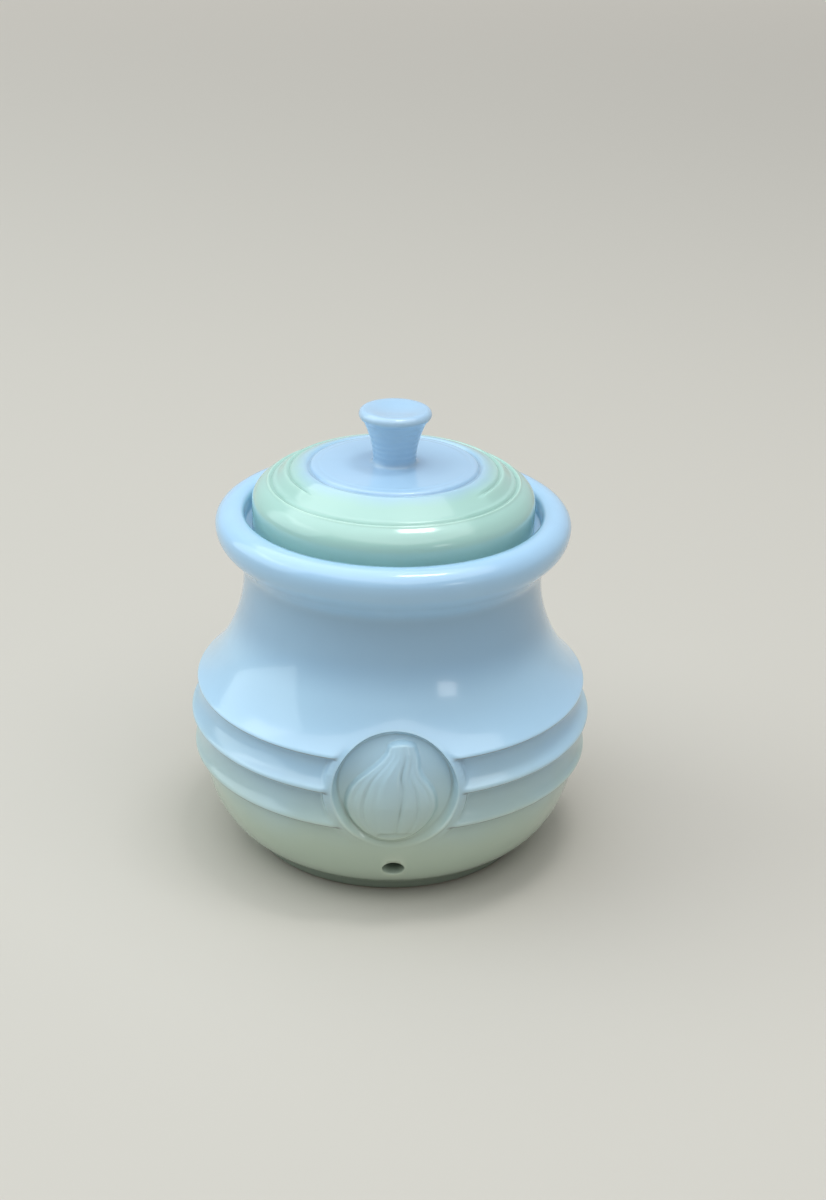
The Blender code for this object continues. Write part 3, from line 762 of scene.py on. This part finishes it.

# %% [markdown]
# ## Glazes
# The body wears a pale blue-white glaze. Low on the bowl it passes softly into a pale yellow-green,
# which was sprayed on, and the lid's rings carry a cooler green round a pale blue disc and knob. Each
# glaze is written as three colours: plain, pooled and thin. The shoulder is painted lighter, as painted
# light from above, and the hollow of the neck is painted darker, as painted shade under the rim. The
# stored attribute darkens small hollows, partly as pooled glaze and partly as painted shade, and lightens
# ridges, where the glaze is thin. A thin dark line under each rib's lip is painted shade, and the foot is
# darkened as painted contact shade. The medallion's field takes more of the yellow-green tint as a painted
# warm reflection. Broad, very shallow waves bend the reflections a little, as on every fired glaze. The
# foot's standing ring is wiped clean to bare clay.

# %% Glaze colours and the pot's glaze
# The pooled colour also serves as painted shade, and on the pot the thin colour also as painted light on the
# shoulder.
WHITE = colour(171, 211, 242), colour(104, 126, 142), colour(195, 231, 252)
LID_WHITE = colour(166, 202, 231), colour(102, 122, 140), colour(198, 224, 243)
LID_TINT = colour(169, 210, 200), colour(108, 144, 130), colour(196, 232, 218)
BOWL_TINT = colour(184, 202, 184), colour(122, 138, 120), colour(204, 218, 198)
BARE_CLAY = colour(176, 160, 138)
LIP_SHADE, FOOT_SHADE = colour(112, 104, 106), colour(92, 98, 88)
LIP_SHADE_BAND = np.array((-0.5, -0.2, 0.5, 0.9)) * MM


def glaze_over(finish, position, white, tinted, tint):
    """Base colour by tint and thickness: pooled glaze and painted shade in hollows, thin on ridges, softly clouded.
    """
    hollow = finish.attribute("hollow")
    cloud = finish.noise(position, 24 * MM, 3.0)
    # Painted shade: hollows are darkened towards the pooled colour, partly pooled glaze and partly shade.
    pool_and_shade = hollow.fade(0.52, 0.72)
    thin = 1.0 - hollow.fade(0.34, 0.485)
    plain, pooled_and_shaded, light = (finish.mix(tinted, first, second) for first, second in zip(white, tint))
    base = finish.mix(cloud.fade(0.35, 0.75) * 0.10, plain, light)
    base = finish.mix(pool_and_shade * 0.75, base, pooled_and_shaded)
    return finish.mix(thin * 0.70, base, light)


def glaze_surface(finish, position, turning=None):
    """Roughness and normal: broad waves, fine grain and, where given, turning lines."""
    waves = finish.noise(position, 9 * MM, 1.0)
    grain = finish.noise(position, 1.1 * MM, 2.0)
    finish.feed("Roughness", finish.noise(position, 6 * MM, 3.0) * 0.10 + 0.12)
    height = waves + grain * 0.03
    finish.feed("Normal", finish.bump(height if turning is None else height + turning, 0.10 * MM))


GLOSS = {"IOR": 1.50, "Coat_Weight": 0.40, "Coat_Roughness": 0.04}


def pot_glaze():
    """Tint low on the bowl and more on the medallion's field, as a painted reflection.
    Then painted light on the shoulder, and painted shade in the neck, under each rib's lip and on the foot.
    """
    finish = Finish("pot_glaze", **GLOSS)
    position, (x, y, z) = finish.place()
    drift = finish.noise(position, 30 * MM) * 0.016
    rise = z - float(MEDALLION_CENTRE[2])
    square = x * x + rise * rise
    distance = square.math("SQRT", square) + y.fade(-40 * MM, -30 * MM)
    field = 1.0 - distance.fade(16.5 * MM, 20 * MM)
    # Painted reflection: the medallion's field takes a larger share of the yellow-green tint, for a warm reflection.
    tinted = 1.0 - (z + drift).fade(27 * MM, 68 * MM) * (1.0 - field * 0.35)
    glazed = glaze_over(finish, position, WHITE, tinted, BOWL_TINT)
    # Painted light: the shoulder is lightened towards the thin-glaze colour, as where light from above falls.
    painted_shoulder_light = z.band(46 * MM, 56 * MM, 68 * MM, 80 * MM)
    # Painted shade: the neck under the rim is darkened towards the pooled colour.
    painted_neck_shade = z.band(68 * MM, 82 * MM, 93 * MM, 99 * MM)
    glazed = finish.mix(painted_shoulder_light * 0.40, glazed, WHITE[2])
    glazed = finish.mix(painted_neck_shade * 0.28, glazed, WHITE[1])
    # Painted shade: a thin dark line under each rib's lip.
    edges = sum(z.band(*(height + LIP_SHADE_BAND).tolist()) for height in LIPS[:, 1])
    glazed = finish.mix(edges * distance.fade(HOLE, HOLE + 2 * MM) * 0.6, glazed, LIP_SHADE)
    # Painted contact shade: the foot is darkened towards FOOT_SHADE.
    glazed = finish.mix((1.0 - z.fade(2.6 * MM, 5.0 * MM)) * 0.6, glazed, FOOT_SHADE)
    standing = 1.0 - z.fade(0.3 * MM, 0.9 * MM)
    finish.feed("Base Color", finish.mix(standing, glazed, BARE_CLAY))
    glaze_surface(finish, position)
    return finish.material


pot.data.materials.clear()
pot.data.materials.append(pot_glaze())
print("pot glaze has", len(pot.data.materials[0].node_tree.nodes), "nodes")

# %% The lid's glaze
TURNING_PITCH = 1.9 * MM


def lid_glaze():
    """Green rings round a pale disc, no tint inside or below, and faint turning lines on the stem."""
    finish = Finish("lid_glaze", **GLOSS)
    position, (x, y, z) = finish.place()
    square = x * x + y * y
    radius = square.math("SQRT", square)
    drift = (finish.noise(position, 12 * MM) - 0.5) * 0.003
    ceiling = z + radius.fade(31 * MM, 33 * MM) * (2.4 * MM)
    inside = (1.0 - radius.fade(37.2 * MM, 37.8 * MM)) * (1.0 - ceiling.fade(122.8 * MM, 123.2 * MM))
    tinted = (radius + drift).fade(25.5 * MM, 33.5 * MM) * z.fade(106.2 * MM, 107.6 * MM) * (1.0 - inside)
    finish.feed("Base Color", glaze_over(finish, position, LID_WHITE, tinted, LID_TINT))
    stem = z.band(128.5 * MM, 131 * MM, 139 * MM, 142 * MM)
    phase = z * (2 * math.pi / TURNING_PITCH) + finish.noise(position, 7 * MM) * 7.0
    rings = phase.math("SINE", phase)
    glaze_surface(finish, position, turning=rings * stem * 0.45)
    return finish.material


lid.data.materials.clear()
lid.data.materials.append(lid_glaze())
print("lid glaze has", len(lid.data.materials[0].node_tree.nodes), "nodes")

# %% [markdown]
# ## Riding on the frame
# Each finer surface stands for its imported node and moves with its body, so lifting the lid's body
# lifts the glazed lid.

# %% Ride and replace
for piece, node, body in ((pot, "pot", "pot"), (lid, "lid", "lid")):
    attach(piece, body)
    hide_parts(node)
print("pieces ride:", pot.name, lid.name)

# %% [markdown]
# ## Floor and light
# The stage is one pale plane and a soft studio. A large ceiling lamp gives most of the light, and a
# smaller one overhead draws the bright streaks on lid and rim. A bluish window at the left lights that
# side, and a small one at the right is there for its reflection on the shoulder. Rays seen by the camera,
# directly or mirrored, find a paler world and far floor than the rays that light the object.

# %% Floor, lamps and world
FLOOR_REACH = 6
PALE, BLACK = colour(200, 195, 186), colour(0, 0, 0)
WORLD_SEEN, WORLD_LIGHT = 0.62, 0.11


class Surround(Finish):
    """The world as a finish, on its Background shader."""

    def __init__(self, name, sky):
        self.world = bpy.data.worlds.new(name)
        self.world.use_nodes = True
        self.tree = self.world.node_tree
        self.shader = self.tree.nodes["Background"]
        self.shader.inputs["Color"].default_value = sky


def seen(finish):
    """1 for rays from the camera and for rays mirrored or passed on to it, 0 for all others."""
    names = ("Is Camera Ray", "Is Glossy Ray", "Is Transmission Ray")
    camera_ray, mirrored, passed = (finish.node("ShaderNodeLightPath", {}, {}, output=name) for name in names)
    return camera_ray.math("MAXIMUM", camera_ray, mirrored.math("MAXIMUM", mirrored, passed))


floor_mesh = bpy.data.meshes.new("floor")
corners = [(x * FLOOR_REACH, y * FLOOR_REACH, 0) for x, y in ((-1, -1), (1, -1), (1, 1), (-1, 1))]
floor_mesh.from_pydata(corners, [], [(0, 1, 2, 3)])
floor = bpy.data.objects.new("floor", floor_mesh)
bpy.context.scene.collection.objects.link(floor)
floor_finish = Finish("floor_paint", Roughness=0.75, Specular_IOR_Level=0.2, Emission_Strength=1.0)
floor_finish.shader.inputs["Base Color"].default_value = PALE
_, (x, y, _) = floor_finish.place()
square = x * x + y * y
far = square.math("SQRT", square).fade(0.6, 4.5) * seen(floor_finish)
floor_finish.feed("Emission Color", floor_finish.mix(far, BLACK, PALE))
floor_mesh.materials.append(floor_finish.material)


def lamp(name, place, aim, size, watts, tone=(1.0, 1.0, 1.0)):
    """A rectangular soft lamp at place, turned towards aim."""
    data = bpy.data.lights.new(name, "AREA")
    data.shape, data.size, data.size_y = "RECTANGLE", size[0], size[1]
    data.energy, data.color = watts, tone
    item = bpy.data.objects.new(name, data)
    bpy.context.scene.collection.objects.link(item)
    back = np.array(place, float) - np.array(aim, float)
    back /= np.linalg.norm(back)
    right = np.cross((0.0, 0.0, 1.0), back)
    right /= np.linalg.norm(right)
    axes = np.stack((right, np.cross(back, right), back), axis=1)
    item.matrix_world = Matrix.Translation(place) @ Matrix(axes.tolist()).to_4x4()


AIM = (0.0, 0.0, 0.07)
lamp("ceiling", (-0.20, -0.20, 2.20), AIM, (5.00, 3.40), 89.0, (0.94, 0.98, 1.0))
lamp("overhead", (0.25, 0.05, 1.60), AIM, (0.26, 0.40), 4.2)
lamp("window_left", (-1.50, 0.10, 0.75), AIM, (1.60, 1.20), 9.0, (0.84, 0.97, 1.0))
lamp("window_right", (0.70, -0.94, 0.36), AIM, (0.26, 0.17), 0.45)
surround = Surround("studio", (0.92, 0.96, 1.0, 1.0))
surround.feed("Strength", seen(surround) * (WORLD_SEEN - WORLD_LIGHT) + WORLD_LIGHT)
bpy.context.scene.world = surround.world
bpy.context.scene.view_settings.view_transform = "Standard"
